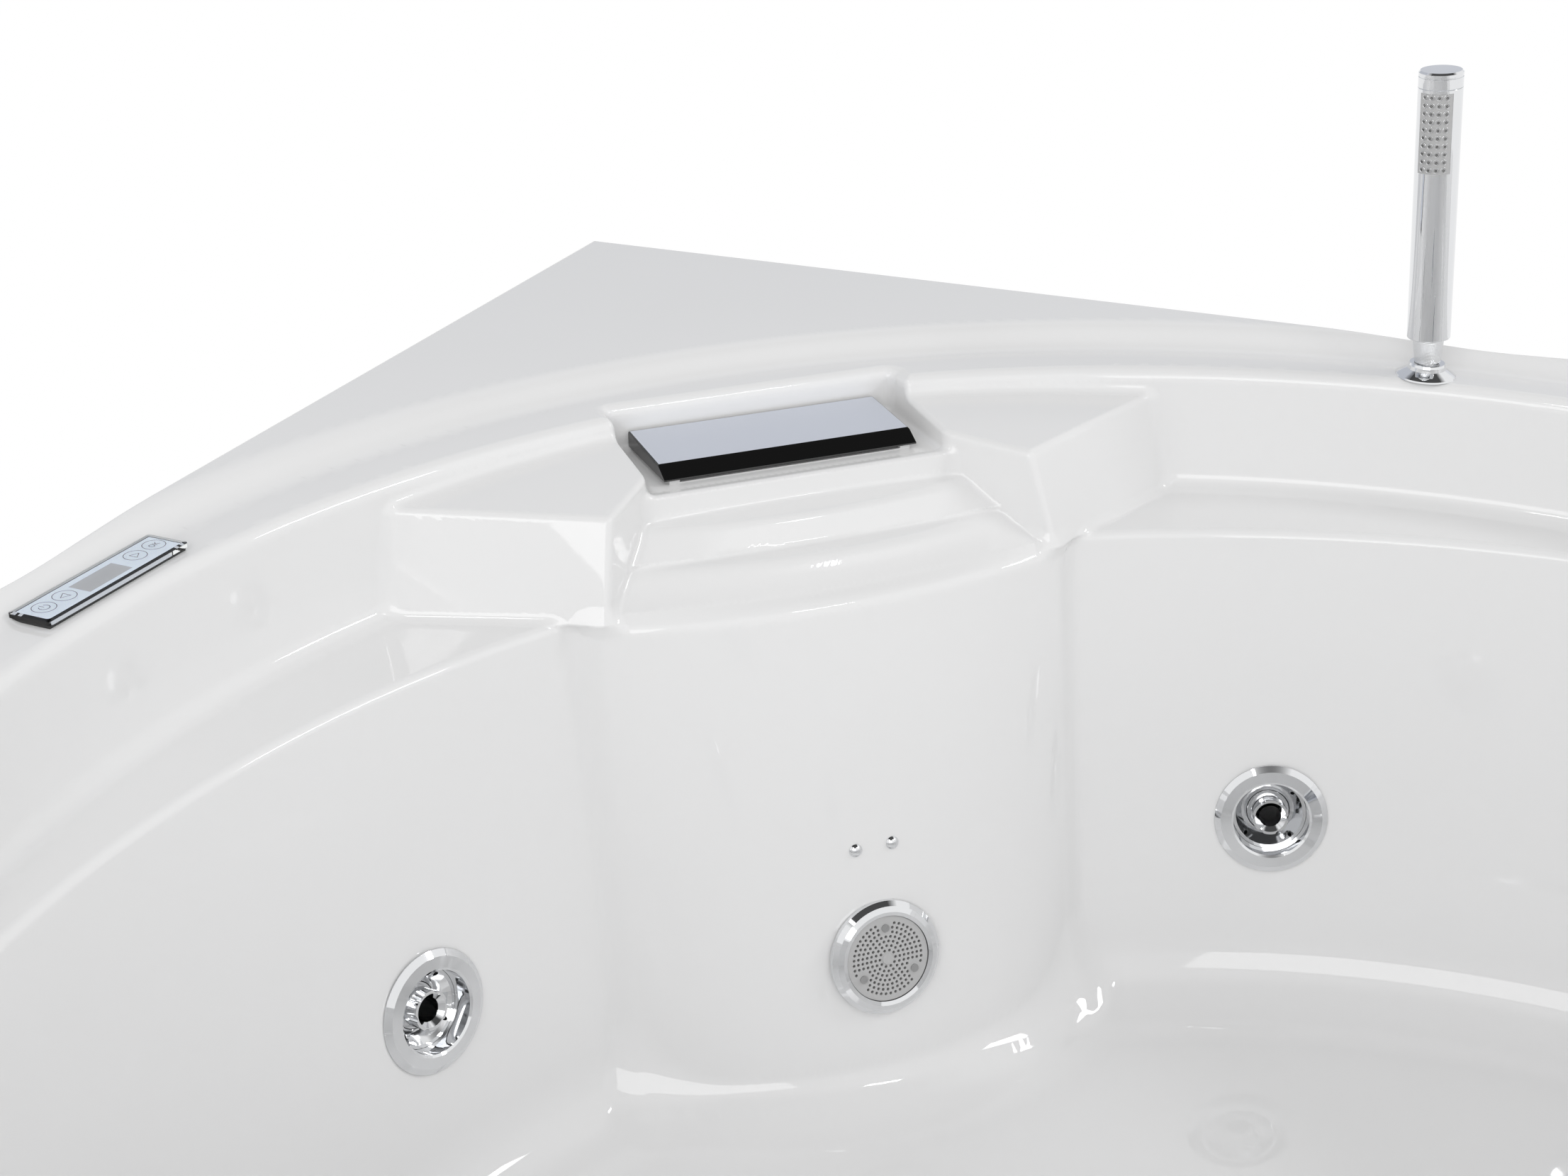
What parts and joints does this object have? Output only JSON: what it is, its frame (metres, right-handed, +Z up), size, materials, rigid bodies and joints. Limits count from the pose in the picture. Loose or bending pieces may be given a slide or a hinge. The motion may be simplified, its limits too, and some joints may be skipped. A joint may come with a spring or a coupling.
{
  "type": "corner jetted bathtub",
  "caption": "Corner jetted bathtub with a round bowl, waterfall spout, water jets, suction fitting, stick hand shower, touch panel, support frame, pump and removable curved front panel.",
  "frame": {"origin": "on the floor, under the middle of the bath's bounding box", "axes": "+Z up, +Y towards the corner of the room, +X to the right of someone facing that corner"},
  "size_m": [1.959, 1.6498, 0.7934],
  "materials": {
    "white_acrylic": "gloss",
    "galvanised_steel": "satin",
    "foot_plastic": "matt",
    "zinc_steel": "satin",
    "board": "raw",
    "chrome": "polished",
    "chromed_plastic": "polished",
    "satin_grey": "satin",
    "steel_screws": "satin",
    "spray_plastic": "satin",
    "brass": "raw",
    "panel_glass": "gloss",
    "display_grey": "gloss",
    "black_plastic": "matt",
    "white_pipe": "satin",
    "motor_paint": "satin",
    "pump_plastic": "satin"
  },
  "bodies": {
    "bath": {"bath_shell": "white_acrylic", "wall_rails": "galvanised_steel", "return_rails": "galvanised_steel", "centre_rails": "galvanised_steel", "cross_rails": "galvanised_steel", "frame_posts": "galvanised_steel", "levelling_feet": "foot_plastic", "foot_lock_nuts": "zinc_steel", "base_board": "board", "apron_catches": "galvanised_steel", "waterfall_cover": "chrome", "waterfall_body": "white_pipe", "jet_flange_back_left": "chrome", "jet_flange_back_right": "chrome", "jet_flange_side_left": "chrome", "jet_flange_side_right": "chrome", "jet_flange_front_left": "chrome", "jet_flange_front_right": "chrome", "jet_bodies": "white_pipe", "jet_retaining_rings": "chromed_plastic", "jet_lock_nuts": "white_pipe", "suction_ring": "chrome", "suction_cover": "satin_grey", "suction_body": "white_pipe", "suction_screws": "steel_screws", "level_sensors": "chrome", "shower_socket": "chrome", "shower_socket_nut": "brass", "control_glass": "panel_glass", "control_case": "black_plastic", "control_display": "display_grey", "control_nut": "black_plastic", "waste_flange": "chrome", "waste_trap": "white_pipe", "overflow_face": "chrome", "overflow_pipe": "white_pipe", "pump_motor": "motor_paint", "pump_volute": "pump_plastic", "pump_base": "galvanised_steel", "suction_pipe": "white_pipe", "water_manifold": "white_pipe", "water_branch": "white_pipe", "control_box": "black_plastic", "cable_glands": "black_plastic"},
    "apron": {"apron_panel": "white_acrylic"},
    "hand_shower": {"shower_handle": "chrome", "shower_cap": "chrome", "shower_neck": "chrome", "shower_spray_plate": "spray_plastic"},
    "overflow_knob": {"overflow_knob": "chrome"},
    "waste_plug": {"waste_plug": "chrome"},
    "impeller": {"pump_impeller": "pump_plastic"},
    "nozzle_back_left": {"jet_nozzle_back_left": "chromed_plastic"},
    "nozzle_back_right": {"jet_nozzle_back_right": "chromed_plastic"},
    "nozzle_side_left": {"jet_nozzle_side_left": "chromed_plastic"},
    "nozzle_side_right": {"jet_nozzle_side_right": "chromed_plastic"},
    "nozzle_front_left": {"jet_nozzle_front_left": "chromed_plastic"},
    "nozzle_front_right": {"jet_nozzle_front_right": "chromed_plastic"}
  },
  "joints": [
    {"name": "apron_pull_off", "type": "slide", "parent": "bath", "child": "apron", "axis": [0, -1, 0], "range_m": [0, 0.08]},
    {"name": "shower_lift", "type": "slide", "parent": "bath", "child": "hand_shower", "axis": [-0.0644, 0.0269, 0.9976], "range_m": [0, 0.15]},
    {"name": "nozzle_tilt_back_left", "type": "hinge", "parent": "bath", "child": "nozzle_back_left", "pos_m": [-0.30276, 0.29709, 0.3035], "axis": [0.8878, 0.4602, 0], "range_deg": [-15, 15]},
    {"name": "nozzle_tilt_back_right", "type": "hinge", "parent": "bath", "child": "nozzle_back_right", "pos_m": [0.30276, 0.29709, 0.3035], "axis": [0.8878, -0.4602, 0], "range_deg": [-15, 15]},
    {"name": "nozzle_tilt_side_left", "type": "hinge", "parent": "bath", "child": "nozzle_side_left", "pos_m": [-0.50398, 0.13589, 0.3035], "axis": [0.6428, 0.766, 0], "range_deg": [-15, 15]},
    {"name": "nozzle_tilt_side_right", "type": "hinge", "parent": "bath", "child": "nozzle_side_right", "pos_m": [0.50398, 0.13589, 0.3035], "axis": [0.6428, -0.766, 0], "range_deg": [-15, 15]},
    {"name": "nozzle_tilt_front_left", "type": "hinge", "parent": "bath", "child": "nozzle_front_left", "pos_m": [-0.19687, -0.63384, 0.3002], "axis": [-0.9471, 0.321, 0], "range_deg": [-15, 15]},
    {"name": "nozzle_tilt_front_right", "type": "hinge", "parent": "bath", "child": "nozzle_front_right", "pos_m": [0.19687, -0.63384, 0.3002], "axis": [-0.9471, -0.321, 0], "range_deg": [-15, 15]},
    {"name": "overflow_turn", "type": "hinge", "parent": "bath", "child": "overflow_knob", "pos_m": [0, -0.69907, 0.47045], "axis": [0, 0.9463, 0.3231], "range_deg": [0, 90]},
    {"name": "plug_lift", "type": "slide", "parent": "bath", "child": "waste_plug", "axis": [0, 0, 1], "range_m": [0, 0.01]},
    {"name": "impeller_spin", "type": "hinge", "parent": "bath", "child": "impeller", "pos_m": [-0.765, -0.065, 0.205], "axis": [0, 1, 0], "continuous": true}
  ],
  "couplings": [
    {"joint": "plug_lift", "follows": "overflow_turn", "m_per_rad": 0.006366}
  ]
}
